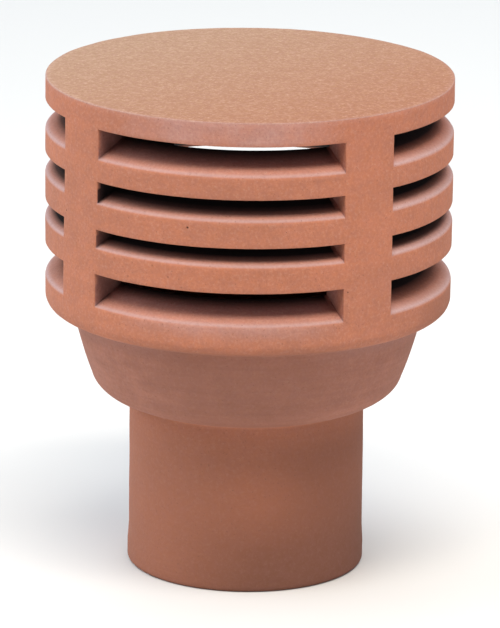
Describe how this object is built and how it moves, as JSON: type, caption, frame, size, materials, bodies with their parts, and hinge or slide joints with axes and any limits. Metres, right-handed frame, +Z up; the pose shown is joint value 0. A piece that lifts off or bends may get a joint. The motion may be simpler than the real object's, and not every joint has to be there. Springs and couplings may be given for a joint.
{
  "type": "chimney terminal",
  "caption": "Fired clay chimney terminal: a round head with a flat lid and rows of louvred slots between plain pillars, over a bowl and an open pipe spigot.",
  "frame": {"origin": "centre of the spigot's flat lower end, where the terminal stands or seats", "axes": "+Z up along the flue's axis towards the lid; the slotted windows face +X, -X, +Y and -Y and the pillars stand between them"},
  "size_m": [0.27, 0.27, 0.3335],
  "materials": {
    "fired_clay": "matt unglazed terracotta, sandy on the lid"
  },
  "bodies": {
    "root": {"chimney_terminal": "fired_clay"}
  },
  "joints": []
}
